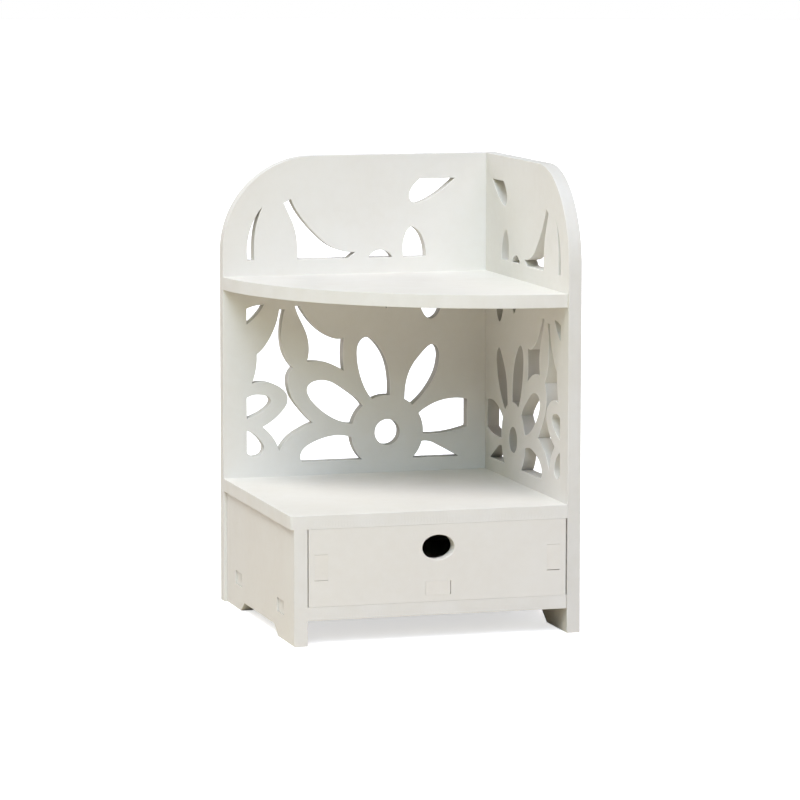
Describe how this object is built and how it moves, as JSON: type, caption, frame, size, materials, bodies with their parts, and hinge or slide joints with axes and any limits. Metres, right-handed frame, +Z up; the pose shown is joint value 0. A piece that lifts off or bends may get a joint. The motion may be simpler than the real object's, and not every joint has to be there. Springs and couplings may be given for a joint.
{
  "type": "desktop shelf with drawer",
  "caption": "White corner desk shelf of tab-and-slot boards: upright back and side boards with a cut-out flower pattern, a quarter-round shelf, and a drawer with an oval finger hole.",
  "frame": {"origin": "on the surface that the shelf stands on, at the middle of its footprint", "axes": "+Z up, -Y the front that the drawer opens to, +X towards the tall side board, +Y the back board"},
  "size_m": [0.22, 0.21, 0.3415],
  "materials": {
    "board": "smooth matt white skin of foamed board"
  },
  "bodies": {
    "cabinet": {"back_panel": "board", "side_panel": "board", "top_shelf": "board", "middle_shelf": "board", "bottom_board": "board", "left_wall": "board"},
    "drawer": {"drawer_front": "board", "drawer_side_left": "board", "drawer_side_right": "board", "drawer_back": "board", "drawer_bottom": "board"}
  },
  "joints": [
    {"name": "drawer_slide", "type": "slide", "parent": "cabinet", "child": "drawer", "axis": [0, -1, 0], "range_m": [0, 0.15]}
  ]
}
